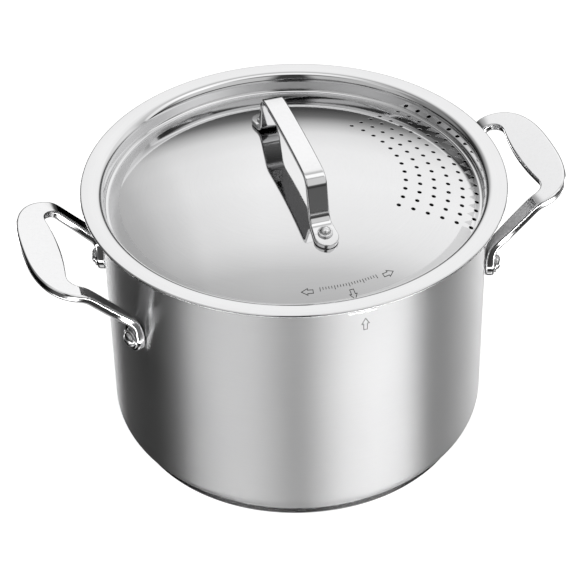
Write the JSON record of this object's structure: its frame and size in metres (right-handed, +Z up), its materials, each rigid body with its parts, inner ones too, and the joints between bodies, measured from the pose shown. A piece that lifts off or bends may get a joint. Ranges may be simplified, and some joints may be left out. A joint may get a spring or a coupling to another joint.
{
  "type": "pasta pot",
  "caption": "Steel pasta pot with riveted side handles and a domed lid that strains through a field of holes, turns to lock and lifts off.",
  "frame": {"origin": "middle of the base, on the surface the pot stands on", "axes": "+Z up, +X towards the side handle that the strainer holes are over, -Y towards the lock mark"},
  "size_m": [0.3196, 0.2438, 0.1964],
  "materials": {
    "brushed_steel_wall": "brushed",
    "polished_steel": "polished",
    "lid_steel": "satin polished",
    "aluminium_core": "plain"
  },
  "bodies": {
    "pot": {"pot_body": "brushed_steel_wall", "base_core": "aluminium_core", "base_cap": "polished_steel", "left_handle": "polished_steel", "right_handle": "polished_steel", "left_front_rivet": "polished_steel", "left_rear_rivet": "polished_steel", "right_front_rivet": "polished_steel", "right_rear_rivet": "polished_steel"},
    "lid_edge": {"lid_edge_wire": "polished_steel"},
    "lid": {"lid_shell": "lid_steel", "lid_handle": "polished_steel", "lid_front_rivet": "polished_steel", "lid_rear_rivet": "polished_steel"}
  },
  "joints": [
    {"name": "lid_lift", "type": "slide", "parent": "pot", "child": "lid_edge", "axis": [0, 0, 1], "range_m": [0, 0.12]},
    {"name": "lid_turn", "type": "hinge", "parent": "lid_edge", "child": "lid", "pos_m": [0, 0, 0.163], "axis": [0, 0, 1], "range_deg": [-90, 90]}
  ]
}
